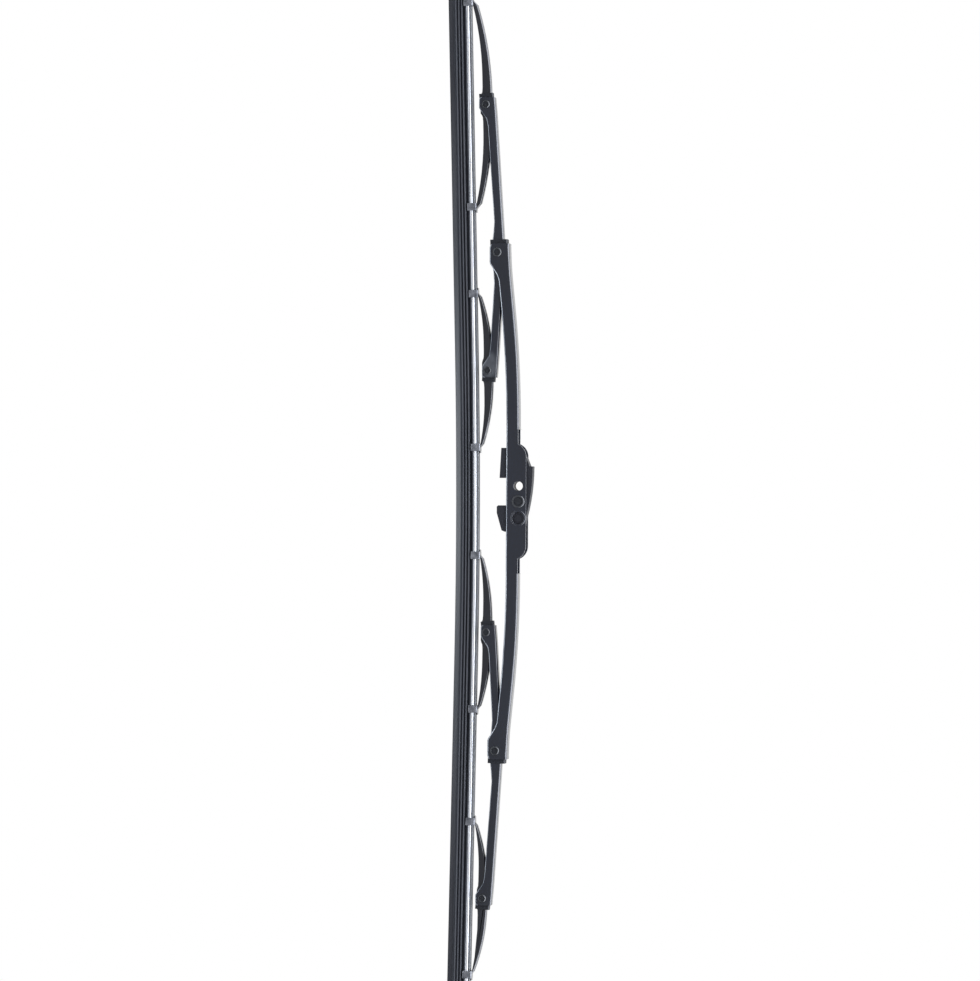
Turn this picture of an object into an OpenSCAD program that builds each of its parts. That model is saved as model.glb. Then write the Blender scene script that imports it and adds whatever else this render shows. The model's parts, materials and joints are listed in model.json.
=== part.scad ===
// Bridge-frame wiper blade with a hook adapter.
// X runs along the blade, Y across it and +Z points away from the glass.
// The origin is the axis of the adapter rivet, midway between the flanges.

/* [Lip line] */
// Depth of the rubber lip below the adapter rivet at the crown of the lip line
lip_drop = 37.4; // [36.5:0.1:40]
// Place along the blade of the crown of the lip line
lip_crown_x = 14; // [0:1:20]
// Radius of the curved middle of the lip line
lip_radius = 4550; // [4300:50:8000]
// Where the curved middle ends, each way from the adapter rivet
lip_curve_half = 92; // [70:1:110]
// Length of the rubber past the last claw at the left end
left_end_past = 14.3; // [8:0.1:26]
// Length of the rubber past the last claw at the right end
right_end_past = 13.5; // [8:0.1:26]
// How far the splines stop short of each end of the rubber
spline_short = 2; // [0.5:0.5:5]

/* [Rubber section] */
// Width of the wiping edge
lip_edge_w = 0.7; // [0.5:0.1:1]
// Width of the lip where it meets the ribs
lip_root_w = 1.3; // [1:0.1:1.8]
// Height of the lip
lip_h = 2.9; // [2.4:0.1:3]
// Height of the neck between the lip and the lowest rib
neck_h = 1.1; // [0.8:0.1:1.3]
// Width of the necks between the ribs
neck_w = 2.2; // [1.6:0.1:2.6]
// Width of the lowest rib
rib_low_w = 4.0; // [3:0.1:4.6]
// Width of the middle rib
rib_mid_w = 5.0; // [4:0.1:5.4]
// Width of the top rib
rib_top_w = 6.0; // [5:0.1:6.2]
// Height of one rib
rib_h = 0.9; // [0.7:0.1:1]
// Height of the groove between two ribs
rib_gap = 0.9; // [0.8:0.1:1.1]
// Height of the groove that takes the claw hooks
hook_groove_h = 1.4; // [1.3:0.1:1.6]
// Height of the web between the hook groove and the spline slots
base_h = 0.6; // [0.4:0.1:0.8]
// Width of the rubber above the hook groove
head_w = 6.0; // [5.4:0.1:6.2]
// Height of the rubber head above the spline slots
head_h = 1.4; // [1.1:0.1:1.6]

/* [Splines] */
// Thickness of a spline
spline_t = 1.6; // [1:0.1:1.7]
// Width of a spline
spline_w = 2.2; // [1.8:0.1:2.4]
// Width of the rubber left between the two splines
core_w = 1.8; // [1.2:0.1:2.2]
// Clearance of a spline in its slot
spline_clear = 0.05; // [0.02:0.01:0.08]

/* [Claws] */
// Sheet thickness of the claw bridges
claw_sheet = 0.9; // [0.7:0.05:1]
// Outer width of a claw bridge
claw_bridge_w = 5.2; // [4.8:0.1:5.4]
// Outer bend radius of a claw bridge
claw_bend_r = 1.2; // [1.05:0.05:1.6]
// Width of one claw along the blade
claw_len = 4.4; // [3.6:0.1:5]
// Length of the tip of the claw plate past the outer side of the claw
claw_tip = 1.2; // [0.6:0.1:2]
// Thickness of the claw plate, legs and hooks
claw_t = 0.8; // [0.7:0.05:0.85]
// Clearance of a claw round the rubber and the splines
claw_clear = 0.12; // [0.08:0.01:0.2]
// Gap between the hooks and the neck of the rubber
hook_gap = 0.35; // [0.3:0.05:0.6]

/* [Claw bridges] */
// Half distance between the claws of the left outer bridge
left_outer_half = 60.2; // [57:0.1:62]
// Half distance between the claws of the right outer bridge
right_outer_half = 45; // [42:0.1:47]
// Half distance between the claws of the inner bridges
inner_half = 45.2; // [42:0.1:47]
// Height of the top of the left outer bridge above its pivot
left_outer_rise = 3.5; // [3:0.1:3.7]
// Height of the top of the inner bridges above their pivots
inner_rise = 3.2; // [2.9:0.1:3.4]
// Height of the top of the right outer bridge above its pivot
right_outer_rise = 2.8; // [2.7:0.1:3.4]
// Depth of the flange of the left outer bridge below its pivot
left_outer_drop = 2; // [1.6:0.1:2.5]
// Depth of the flanges of the inner bridges below their pivots
inner_drop = 2.2; // [1.6:0.1:2.5]
// Depth of the flange of the right outer bridge below its pivot
right_outer_drop = 2.6; // [1.8:0.1:2.8]
// Height over the claw plate at which the left outer bridge turns down
left_outer_knee = 3; // [2:0.1:3.4]
// Height over the claw plate at which the inner bridges turn down
inner_knee = 2; // [1.4:0.1:2.6]
// Height over the claw plate at which the right outer bridge turns down
right_outer_knee = 1.4; // [1.2:0.1:2.2]
// Distance inside the claw at which a bridge turns down
knee_inset = 2; // [1.5:0.1:3]
// Half length of the straight top over the pivot
claw_bridge_flat = 5; // [4:0.5:7]
// Depth of the ear below the pivot
claw_ear_drop = 3.3; // [3:0.1:3.8]
// Half width of the ear
claw_ear_half = 6; // [5:0.1:7]
// Length of the slope between the flat bottom of the ear and the flange
claw_ear_slope = 2.6; // [2:0.1:4]

/* [Secondary bridges] */
// Distance of the outer pivots from the adapter rivet
outer_pivot_x = 233.5; // [232:0.1:235]
// Depth of the outer pivots below the adapter rivet
outer_pivot_drop = 20.5; // [20:0.1:20.8]
// Distance of the inner pivots from the adapter rivet
inner_pivot_x = 77; // [75:0.1:79]
// Depth of the inner pivots below the adapter rivet
inner_pivot_drop = 18.85; // [18.5:0.05:19.1]
// Sheet thickness of the secondary bridges
second_sheet = 1.0; // [0.8:0.05:1.1]
// Outer bend radius of the secondary bridges
second_bend_r = 1.35; // [1.2:0.05:1.8]
// Height of the crown above the main pivot
second_crown = 4; // [3.8:0.1:4.3]
// Radius of the crown
second_crown_r = 150; // [100:5:200]
// Height of the top of the outer arm above its pivot
outer_arm_rise = 5.76; // [5.6:0.01:5.9]
// Height of the top of the inner arm above its pivot
inner_arm_rise = 5.86; // [5.7:0.01:6]
// Radius of the last stretch of each arm
arm_end_r = 450; // [350:10:700]
// Length of that stretch inside the pivot
arm_end_len = 13; // [10:0.5:16]
// Depth of the flange beside the crown
second_depth = 5.1; // [4.8:0.1:5.4]
// Depth of the flange at its outer end
outer_end_depth = 5.5; // [5.1:0.1:5.8]
// Depth of the belly of the flange below the main pivot
belly_drop = 3.2; // [2.9:0.1:3.6]
// Half length of the belly at its top
belly_half = 18; // [14:0.5:22]
// Depth of the outer ear below its pivot
outer_ear_drop = 4; // [3.7:0.1:4.2]
// Depth of the inner ear below its pivot
inner_ear_drop = 3.2; // [2.9:0.1:3.4]
// Length of the secondary bridges past their pivots
second_past = 4.2; // [4:0.1:4.6]
// Length of the flat bottom of an ear inside its pivot
second_ear_in = 2.2; // [1.8:0.1:3]
// Length of the slope between that and the flange
second_ear_slope = 6.4; // [5:0.1:8]
// Radius that rounds the free corners of the ears
ear_corner = 1.2; // [0.8:0.1:1.4]

/* [Primary bridge] */
// Distance of the main pivots from the adapter rivet
main_pivot_x = 146.5; // [144:0.1:149]
// Depth of the main pivots below the adapter rivet
main_pivot_drop = 13.2; // [13:0.1:13.5]
// Sheet thickness of the primary bridge
primary_sheet = 1.1; // [0.9:0.05:1.2]
// Outer bend radius of the primary bridge
primary_bend_r = 1.45; // [1.3:0.05:2]
// Height of the flat web above the adapter rivet
web_top = 0.2; // [0:0.1:0.5]
// Half length of the flat web
flat_half = 45; // [43:0.5:50]
// Radius of the long curve beyond the flat web
shoulder_r = 700; // [650:10:750]
// Fall of the web after that curve in degrees
shoulder_fall = 5.7; // [5.4:0.1:6]
// Where the straight fall ends and the web levels out
level_x = 130; // [128:0.5:132]
// Length of the primary bridge past its main pivot
primary_past = 5.2; // [4.8:0.1:6]
// Slope of the web at its ends in degrees
end_fall = 0.7; // [0.3:0.1:1]
// Depth of the flange below the web
primary_depth = 7.4; // [7:0.1:7.8]
// Depth of the end ear below its pivot
primary_ear_drop = 4.4; // [4.1:0.1:4.6]
// Length of the flat bottom of the end ear inside its pivot
primary_ear_in = 7; // [6:0.5:8]
// Length of the slope between that and the flange
primary_ear_slope = 8; // [6:0.5:10]
// Half length of the window in the web
window_half = 42.3; // [41.5:0.1:42.8]
// Height of the flange humps above the adapter rivet
hump_top = 4.7; // [4.2:0.1:5.2]
// Half length of the straight top of the humps
hump_half = 26.4; // [24:0.2:28]
// Radius of the ends of the humps
hump_r = 8; // [6:0.5:9]
// Depth of the flange edge beside the humps below the web
window_step = 0.3; // [0.1:0.1:0.6]
// Place of the side pin hole, left of the adapter rivet
pin_hole_x = 9.1; // [8.8:0.1:9.6]
// Diameter of the side pin hole
pin_hole_d = 5.4; // [4.8:0.1:5.6]
// Place of the large hole, right of the adapter rivet
large_hole_x = 9.8; // [9.4:0.1:10.2]
// Diameter of the large hole
large_hole_d = 7; // [6.4:0.1:7.2]
// Diameter of the raised rim round the large hole
large_rim_d = 8.8; // [8.2:0.1:9]
// Height of that rim
large_rim_h = 0.35; // [0.2:0.05:0.6]

/* [Pivot liners] */
// Wall of a pivot liner
liner_wall = 0.5; // [0.4:0.05:0.6]
// Running clearance between a liner and the bridge inside it
liner_run = 0.1; // [0.08:0.01:0.2]
// Seating clearance of a liner in the bridge that holds it
liner_seat = 0.05; // [0.02:0.01:0.08]
// Gap between a liner and the web above it
liner_web_gap = 0.15; // [0.1:0.01:0.2]
// How far a liner sticks out of the end of its bridge
liner_past = 2.3; // [1.5:0.1:3]
// Length of a liner inside its pivot
liner_in = 5.5; // [5:0.1:7]

/* [Rivets] */
// Shank diameter of the main rivets
main_rivet_d = 3.2; // [2.8:0.1:3.4]
// Head diameter of the main rivets
main_head_d = 5.3; // [5:0.1:5.6]
// Shank diameter of the claw rivets
claw_rivet_d = 2.9; // [2.5:0.1:3]
// Head diameter of the claw rivets
claw_head_d = 4.7; // [4.4:0.1:4.9]
// Height of a rivet head
head_rise = 0.8; // [0.6:0.05:1]
// Diameter of the dimple in a rivet head
dimple_d = 2.6; // [2:0.1:2.7]
// Depth of that dimple
dimple_depth = 0.5; // [0.3:0.05:0.7]
// Fit of a rivet in the bridge and liner that hold it
rivet_fit = 0.03; // [0.02:0.01:0.06]
// Running clearance of a rivet in the bridge that turns on it
rivet_run = 0.08; // [0.05:0.01:0.15]
// Shank diameter of the adapter rivet
adapter_rivet_d = 5; // [4.6:0.1:5.2]
// Head diameter of the adapter rivet
adapter_head_d = 7.6; // [7.2:0.1:8]
// Diameter of the dimple in the head of the adapter rivet
adapter_dimple_d = 5.4; // [5:0.1:5.6]

/* [Adapter] */
// Clearance between the adapter and each flange
adapter_gap = 0.2; // [0.15:0.05:0.3]
// Left end of the adapter, from its rivet
adapter_left = 31.5; // [30:0.5:33]
// Right end of the adapter, from its rivet
adapter_right = 17.8; // [16:0.1:18]
// Height of the spine at its left corner
spine_top = 8.4; // [8:0.1:9]
// Place of that corner, left of the rivet
spine_corner_x = 20.5; // [18:0.5:23]
// Height of the step at that corner
spine_step = 1.8; // [1:0.1:2.4]
// Radius of the top of the spine
spine_r = 120; // [90:5:180]
// Wall of the adapter
adapter_wall = 1.8; // [1.4:0.1:2.2]
// Right end of the lower block, left of the rivet
block_end_x = 13.8; // [13:0.2:15]
// Depth of the lower block at its right end
block_drop = 11.2; // [10.5:0.1:12]
// Slope of the bottom of the lower block in degrees
block_slope = 3; // [1:0.5:5]
// Left side of the lower hook, right of the rivet
hook_start_x = 2.3; // [2:0.1:4]
// Width of the tip of the lower hook
hook_tip = 4.4; // [3:0.1:6]
// Depth of the lower hook
hook_drop = 12.8; // [12:0.1:13.5]
// Depth of the notch between the block and the lower hook
notch_drop = 5.6; // [5:0.1:7]
// Depth at which the right end of the adapter starts
heel_low = 7.2; // [6:0.1:9]
// Depth at which it slopes back to the spine
heel_top = 1; // [0:0.1:2]
// Length of that slope
heel_slope = 4; // [3:0.1:5]
// Size of the small corners of the adapter
adapter_corner = 0.8; // [0.4:0.1:1]

/* [Hidden] */
$fn = 48;
eps = 0.01;
bend_steps = 4;
lip_steps = 8;
// Slope of a claw bridge where it turns down to its claw, in degrees
knee_angle = 42;
// Where the curve of a claw bridge's lower edge starts, from its pivot
low_start = 17;

// Heights in the rubber section, above the wiping edge
rib_low_z = lip_h + neck_h;
rib_mid_z = rib_low_z + rib_h + rib_gap;
rib_top_z = rib_mid_z + rib_h + rib_gap;
hook_groove_z = rib_top_z + rib_h + 0.2;
base_z = hook_groove_z + hook_groove_h;
slot_z = base_z + base_h;
slot_h = spline_t + 2 * spline_clear;
head_z = slot_z + slot_h;
rubber_h = head_z + head_h;

// Places of the claw in the same section
claw_plate_z = rubber_h + claw_clear;
claw_top_z = claw_plate_z + claw_t;
hook_top_z = base_z - claw_clear;
hook_bottom_z = hook_top_z - claw_t;
spline_face = core_w / 2 + spline_clear + spline_w;
leg_in = max(spline_face, head_w / 2) + claw_clear;
leg_out = leg_in + claw_t;

// Widths of the bridges, each built out from the one it holds
second_inner = claw_bridge_w + 2 * (liner_run + liner_wall + liner_seat);
second_w = second_inner + 2 * second_sheet;
primary_inner = second_w + 2 * (liner_run + liner_wall + liner_seat);
primary_w = primary_inner + 2 * primary_sheet;
adapter_w = primary_inner - 2 * adapter_gap;

// Ends of the rubber, each past its last claw
rubber_left = outer_pivot_x + left_outer_half + left_end_past;
rubber_right = outer_pivot_x + right_outer_half + right_end_past;

// Height of the wiping edge and its slope in degrees at a place along the blade
function lip_slope(x) =
    -asin((max(-lip_curve_half, min(lip_curve_half, x)) - lip_crown_x) / lip_radius);
function lip_z(x) =
    let (xc = max(-lip_curve_half, min(lip_curve_half, x)), a = lip_slope(xc))
    -lip_drop - lip_radius * (1 - cos(a)) + (x - xc) * tan(a);

function arc_points(cx, cz, r, from, to, steps) =
    [for (i = [0:steps]) let (a = from + (to - from) * i / steps) [cx + r * cos(a), cz + r * sin(a)]];
function flip(points) = [for (i = [len(points) - 1:-1:0]) [-points[i][0], points[i][1]]];

// A solid through rings of points, all with as many points and listed upwards on
// the +Y side and down again on the other
module loft(rings) {
    m = len(rings[0]);
    last = len(rings) - 1;
    sides = [for (k = [0:last - 1], i = [0:m - 1])
        let (a = k * m + i, d = k * m + (i + 1) % m) each [[a, a + m, d + m], [a, d + m, d]]];
    start = [for (j = [0:m / 2 - 2]) each [[j, j + 1, m - 2 - j], [j, m - 2 - j, m - 1 - j]]];
    finish = [for (f = start) [for (i = [2:-1:0]) f[i] + last * m]];
    polyhedron(points = [for (ring = rings) each ring], faces = concat(sides, start, finish));
}

// Ring of a bent channel at one place along it: both legs end at low, and web_t is
// the thickness of the web measured straight down
function channel_ring(x, w, sheet, bend_r, top, low, web_t) =
    let (half = w / 2,
        under = max(top - web_t, low + 0.06),
        out_r = min(bend_r, 0.9 * (top - low)),
        in_r = min(max(bend_r - sheet, 0.15), 0.9 * (under - low)),
        outer = concat([[half, low]], arc_points(half - out_r, top - out_r, out_r, 0, 90, bend_steps)),
        inner = concat([[half - sheet, low]],
            arc_points(half - sheet - in_r, under - in_r, in_r, 0, 90, bend_steps)),
        side = concat(outer, flip(outer), inner_back(inner)))
    [for (p = side) [x, p[0], p[1]]];
function inner_back(inner) = concat([for (p = inner) [-p[0], p[1]]], reverse(inner));
function reverse(list) = [for (i = [len(list) - 1:-1:0]) list[i]];
function steps(from, to, count) = [for (i = [0:count]) from + (to - from) * i / count];

// A flange outline, drawn as x and z, made as a slab across the bridge
module slab(w) {
    rotate([90, 0, 0]) translate([0, 0, -w / 2]) linear_extrude(w) children();
}

module cross_bore(d, w) {
    rotate([90, 0, 0]) cylinder(d = d, h = w, center = true);
}

// Rubber and splines follow the lip line. The side of the section is listed upwards
// as width and height, and shift moves it across the blade.
module along_lip(side, short = 0, shift = 0) {
    stations = concat([-rubber_left + short], steps(-lip_curve_half, lip_curve_half, lip_steps),
        [rubber_right - short]);
    ring = concat(side, flip(side));
    loft([for (x = stations) let (a = lip_slope(x))
        [for (p = ring) [x - p[1] * sin(a), p[0] + shift, lip_z(x) + p[1] * cos(a)]]]);
}

module rubber_element() {
    neck = neck_w / 2;
    core = core_w / 2;
    head = head_w / 2;
    draft = 0.04;
    color("#3b4046") along_lip(concat(
        [[lip_edge_w / 2, 0], [lip_root_w / 2, lip_h - 0.2], [neck, lip_h]],
        [for (rib = [[rib_low_z, rib_low_w], [rib_mid_z, rib_mid_w], [rib_top_z, rib_top_w]])
            each [[neck, rib[0] - 0.1], [rib[1] / 2, rib[0] + 0.1],
                [rib[1] / 2, rib[0] + rib_h - 0.1], [neck, rib[0] + rib_h + 0.1]]],
        [[neck, base_z - draft], [head, base_z], [head, slot_z - draft], [core, slot_z],
            [core, head_z], [head, head_z + draft], [head, rubber_h - 0.3], [head - 0.3, rubber_h]]));
}

module spline(side) {
    bottom = slot_z + spline_clear;
    color("#dfe2e6") along_lip([[spline_w / 2, bottom], [spline_w / 2, bottom + spline_t]],
        spline_short, side * (core_w / 2 + spline_clear + spline_w / 2));
}

// One claw: plate over the rubber head, a leg each side and a hook under each spline
module claw() {
    neck_face = neck_w / 2 + hook_gap;
    toe = claw_t / 3;
    shoulder = arc_points(claw_top_z - claw_t, leg_out - claw_t, claw_t, 0, 90, bend_steps);
    translate([-claw_len / 2, 0, 0]) rotate([0, -90, 0]) translate([0, 0, -claw_len])
        linear_extrude(claw_len) polygon(concat(
            [[hook_bottom_z, neck_face], [hook_bottom_z, leg_out - toe], [hook_bottom_z + toe, leg_out]],
            reverse(shoulder), [for (p = shoulder) [p[0], -p[1]]],
            [[hook_bottom_z + toe, -leg_out], [hook_bottom_z, -leg_out + toe], [hook_bottom_z, -neck_face],
                [hook_top_z, -neck_face], [hook_top_z, -leg_in], [claw_plate_z, -leg_in],
                [claw_plate_z, leg_in], [hook_top_z, leg_in], [hook_top_z, neck_face]]));
    translate([0, -claw_bridge_w / 2, claw_plate_z]) cube([claw_len / 2 + claw_tip, claw_bridge_w, claw_t]);
}

// Top and lower edge of half a claw bridge, from its pivot to the claw at reach.
// The top of the claw plate is at plate_top below the pivot. Each entry is [x, top, low].
function claw_bridge_edge(reach, plate_top, rise, drop, knee) =
    let (knee_x = reach - knee_inset,
        knee_z = plate_top + knee,
        fall = rise - knee_z,
        run = knee_x - claw_bridge_flat,
        r = (run * run + fall * fall) / (2 * fall),
        foot_x = knee_x + (knee - claw_t / 8) / tan(knee_angle),
        low_run = knee_x - low_start,
        low_fall = -drop - plate_top,
        low_r = (low_run * low_run + low_fall * low_fall) / (2 * low_fall),
        ear_flat = claw_ear_half - claw_ear_slope / 2,
        ear_end = claw_ear_half + claw_ear_slope / 2,
        places = concat([0, ear_flat, claw_ear_half, ear_end, ear_end + claw_ear_slope],
            steps(low_start, knee_x, 7), [foot_x]))
    [for (x = places) [x,
        x < claw_bridge_flat ? rise
            : x <= knee_x ? rise - r + sqrt(r * r - pow(x - claw_bridge_flat, 2))
            : knee_z - (x - knee_x) * tan(knee_angle),
        x < low_start
            ? lookup(x, [[ear_flat, -claw_ear_drop], [claw_ear_half, -(2 * claw_ear_drop + drop) / 3],
                [ear_end, -(claw_ear_drop + 5 * drop) / 6], [ear_end + claw_ear_slope, -drop]])
            : x <= knee_x
                ? -drop - low_r + sqrt(low_r * low_r - pow(x - low_start, 2))
                : plate_top - claw_t / 2]];

// A claw bridge on its pivot, its claws square to the rubber
module claw_bridge(pivot_x, pivot_z, half, rise, drop, knee) {
    xa = pivot_x - half;
    xb = pivot_x + half;
    za = lip_z(xa) + claw_top_z / cos(lip_slope(xa));
    zb = lip_z(xb) + claw_top_z / cos(lip_slope(xb));
    a = atan2(zb - za, xb - xa);
    left = (pivot_x - xa) * cos(a) + (pivot_z - za) * sin(a);
    right = norm([xb - xa, zb - za]) - left;
    plate_top = (pivot_x - xa) * sin(a) - (pivot_z - za) * cos(a);
    left_edge = claw_bridge_edge(left, plate_top, rise, drop, knee);
    right_edge = claw_bridge_edge(right, plate_top, rise, drop, knee);
    edge = concat([for (i = [len(left_edge) - 1:-1:1]) [-left_edge[i][0], left_edge[i][1], left_edge[i][2]]],
        right_edge);
    color("#4a4f57") difference() {
        translate([pivot_x, 0, pivot_z]) rotate([0, -a, 0]) union() {
            loft([for (e = edge)
                let (past_knee = e[0] > right - knee_inset + eps || e[0] < -left + knee_inset - eps)
                channel_ring(e[0], claw_bridge_w, claw_sheet, claw_bend_r, e[1], e[2],
                    past_knee ? claw_sheet / cos(knee_angle) : claw_sheet)]);
            translate([right, 0, plate_top - claw_top_z]) claw();
            translate([-left, 0, plate_top - claw_top_z]) mirror([1, 0, 0]) claw();
        }
        translate([pivot_x, 0, pivot_z]) cross_bore(claw_rivet_d + 2 * rivet_run, claw_bridge_w + 2);
    }
}

// One arm of a secondary bridge, from the crown over the main pivot to its ear.
// Each entry is [x, top, low], measured from the main pivot.
function arm_edge(reach, fall, pivot_z, end_depth, ear_drop) =
    let (end_x = reach + second_past,
        straight_x = reach - arm_end_len,
        ear_z = pivot_z - ear_drop,
        flange_z = arm_top(straight_x, reach, fall) - end_depth,
        belly_z = arm_top(belly_half, reach, fall) - second_depth,
        ear_x = reach - second_ear_in,
        low_edge = [[belly_half / 4, -belly_drop], [belly_half * 2 / 3, (2 * belly_z - belly_drop) / 3],
            [belly_half, belly_z], [straight_x, flange_z],
            [ear_x - second_ear_slope, flange_z + (ear_z - flange_z) / 6],
            [ear_x - second_ear_slope / 3, ear_z + (flange_z - ear_z) / 4],
            [ear_x, ear_z], [end_x - ear_corner, ear_z], [end_x - ear_corner / 3, ear_z + ear_corner / 3],
            [end_x, ear_z + ear_corner]],
        places = concat([0, belly_half / 4, second_crown_r * sin(fall), belly_half * 2 / 3],
            steps(belly_half, straight_x, 3),
            [for (i = [4:len(low_edge) - 1]) low_edge[i][0]]))
    [for (x = places) [x, arm_top(x, reach, fall), lookup(x, low_edge)]];

// Height of the top of an arm above the main pivot
function arm_top(x, reach, fall) =
    let (crown_x = second_crown_r * sin(fall),
        crown_z = second_crown - second_crown_r * (1 - cos(fall)),
        end_x = reach - arm_end_len)
    x < crown_x ? second_crown - second_crown_r + sqrt(pow(second_crown_r, 2) - x * x)
    : x < end_x ? crown_z - (x - crown_x) * tan(fall)
    : crown_z - (end_x - crown_x) * tan(fall)
        - arm_end_r * (cos(fall) - cos(asin(sin(fall) + (x - end_x) / arm_end_r)));

// Fall in degrees at which an arm's top passes that height over its pivot
function arm_fall(reach, top, low, high, tries) =
    let (middle = (low + high) / 2)
    tries == 0 ? middle
    : arm_top(reach, reach, middle) > top ? arm_fall(reach, top, middle, high, tries - 1)
    : arm_fall(reach, top, low, middle, tries - 1);
outer_arm_fall = arm_fall(outer_pivot_x - main_pivot_x,
    main_pivot_drop - outer_pivot_drop + outer_arm_rise, -10, 30, 30);
inner_arm_fall = arm_fall(main_pivot_x - inner_pivot_x,
    main_pivot_drop - inner_pivot_drop + inner_arm_rise, -10, 30, 30);

// Drawn as the right-hand bridge; the left-hand one is its mirror image
module secondary_bridge() {
    outer = arm_edge(outer_pivot_x - main_pivot_x, outer_arm_fall,
        main_pivot_drop - outer_pivot_drop, outer_end_depth, outer_ear_drop);
    inner = arm_edge(main_pivot_x - inner_pivot_x, inner_arm_fall,
        main_pivot_drop - inner_pivot_drop, second_depth, inner_ear_drop);
    edge = concat([for (i = [len(inner) - 1:-1:1]) [-inner[i][0], inner[i][1], inner[i][2]]], outer);
    color("#454b54") translate([main_pivot_x, 0, -main_pivot_drop]) difference() {
        loft([for (e = edge) channel_ring(e[0], second_w, second_sheet, second_bend_r, e[1], e[2], second_sheet)]);
        cross_bore(main_rivet_d + 2 * rivet_run, second_w + 2);
        translate([outer_pivot_x - main_pivot_x, 0, main_pivot_drop - outer_pivot_drop])
            cross_bore(claw_rivet_d + 2 * rivet_fit, second_w + 2);
        translate([inner_pivot_x - main_pivot_x, 0, main_pivot_drop - inner_pivot_drop])
            cross_bore(claw_rivet_d + 2 * rivet_fit, second_w + 2);
    }
}

// Height of the primary web at a place right of its middle
curve_x = flat_half + shoulder_r * sin(shoulder_fall);
curve_z = web_top - shoulder_r * (1 - cos(shoulder_fall));
level_z = curve_z - (level_x - curve_x) * tan(shoulder_fall);
primary_end = main_pivot_x + primary_past;
level_r = (primary_end - level_x) / (sin(shoulder_fall) - sin(end_fall));
function web_z(x) =
    x < flat_half ? web_top
    : x < curve_x ? web_top - shoulder_r * (1 - cos(asin((x - flat_half) / shoulder_r)))
    : x < level_x ? curve_z - (x - curve_x) * tan(shoulder_fall)
    : let (a = asin(sin(shoulder_fall) - (x - level_x) / level_r))
        level_z - level_r * (cos(a) - cos(shoulder_fall));

// Edge of the right half of the primary bridge from the window, each entry [x, top, low]
function primary_edge() =
    let (ear_z = -main_pivot_drop - primary_ear_drop,
        ear_x = main_pivot_x - primary_ear_in,
        slope_x = ear_x - primary_ear_slope,
        low_edge = [[slope_x, web_z(slope_x) - primary_depth], [ear_x, ear_z + ear_corner / 4],
            [ear_x + ear_corner, ear_z], [primary_end - 2 * ear_corner, ear_z],
            [primary_end - ear_corner / 2, ear_z + ear_corner / 2], [primary_end, ear_z + 2 * ear_corner]],
        places = concat([window_half], steps(flat_half, curve_x, 7), steps(level_x, ear_x, 3),
            [for (i = [2:len(low_edge) - 1]) low_edge[i][0]]))
    [for (x = places) [x, web_z(x), x < slope_x ? web_z(x) - primary_depth : lookup(x, low_edge)]];

module primary_half() {
    loft([for (e = primary_edge())
        channel_ring(e[0], primary_w, primary_sheet, primary_bend_r, e[1], e[2], primary_sheet)]);
}

// Flange plates that stand up beside the window, with the raised rim of the large hole
module hump_plates() {
    step_z = web_top - window_step;
    centre_z = hump_top - hump_r;
    from_a = asin((step_z - centre_z) / hump_r);
    shape = concat(arc_points(hump_half, centre_z, hump_r, from_a, 90, 8),
        arc_points(-hump_half, centre_z, hump_r, 90, 180 - from_a, 8));
    difference() {
        union() {
            slab(primary_w) polygon(concat(
                [[window_half, web_top - primary_depth], [window_half, step_z]], shape,
                [[-window_half, step_z], [-window_half, web_top - primary_depth]]));
            translate([large_hole_x, 0, 0]) cross_bore(large_rim_d, primary_w + 2 * large_rim_h);
        }
        cube([3 * window_half, primary_inner, 60], center = true);
    }
}

module primary_bridge() {
    color("#434a54") difference() {
        union() {
            primary_half();
            mirror([1, 0, 0]) primary_half();
            hump_plates();
        }
        cross_bore(adapter_rivet_d + 2 * rivet_fit, primary_w + 4);
        translate([-pin_hole_x, 0, 0]) cross_bore(pin_hole_d, primary_w + 4);
        translate([large_hole_x, 0, 0]) cross_bore(large_hole_d, primary_w + 4);
        for (side = [-1, 1])
            translate([side * main_pivot_x, 0, -main_pivot_drop])
                cross_bore(main_rivet_d + 2 * rivet_fit, primary_w + 4);
    }
}

// Pivot liner drawn round its pivot, its open end to the right.
// It lies under a web whose top is at height web above the pivot.
module liner(inner_w, web, tilt, past, drop, rivet_d) {
    out = inner_w / 2 - liner_seat;
    in = out - liner_wall;
    low = drop - 0.4;
    cut = 0.5;
    color("#202226") difference() {
        rotate([0, tilt, 0]) translate([-liner_in, 0, 0]) rotate([0, -90, 0])
            translate([0, 0, -(liner_in + past)]) linear_extrude(liner_in + past) polygon([
                [-low, out], [web - cut, out], [web, out - cut], [web, -out + cut], [web - cut, -out],
                [-low, -out], [-low, -in], [web - liner_wall, -in], [web - liner_wall, in], [-low, in]]);
        cross_bore(rivet_d + 2 * rivet_fit, inner_w + 2);
    }
}

module main_liner() {
    tilt = asin(sin(shoulder_fall) - (main_pivot_x - level_x) / level_r);
    translate([main_pivot_x, 0, -main_pivot_drop])
        liner(primary_inner, web_z(main_pivot_x) + main_pivot_drop - primary_sheet - liner_web_gap, tilt,
            primary_past + liner_past, primary_ear_drop, main_rivet_d);
}

module claw_liner(outer) {
    fall = outer ? outer_arm_fall : inner_arm_fall;
    reach = outer ? outer_pivot_x - main_pivot_x : main_pivot_x - inner_pivot_x;
    pivot_z = main_pivot_drop - (outer ? outer_pivot_drop : inner_pivot_drop);
    slope = asin(sin(fall) + arm_end_len / arm_end_r);
    web = (arm_top(reach, reach, fall) - pivot_z) * cos(slope) - second_sheet - liner_web_gap;
    translate([outer ? outer_pivot_x : inner_pivot_x, 0, outer ? -outer_pivot_drop : -inner_pivot_drop])
        mirror([outer ? 0 : 1, 0, 0])
            liner(second_inner, web, slope, second_past + liner_past,
                outer ? outer_ear_drop : inner_ear_drop, claw_rivet_d);
}

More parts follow.
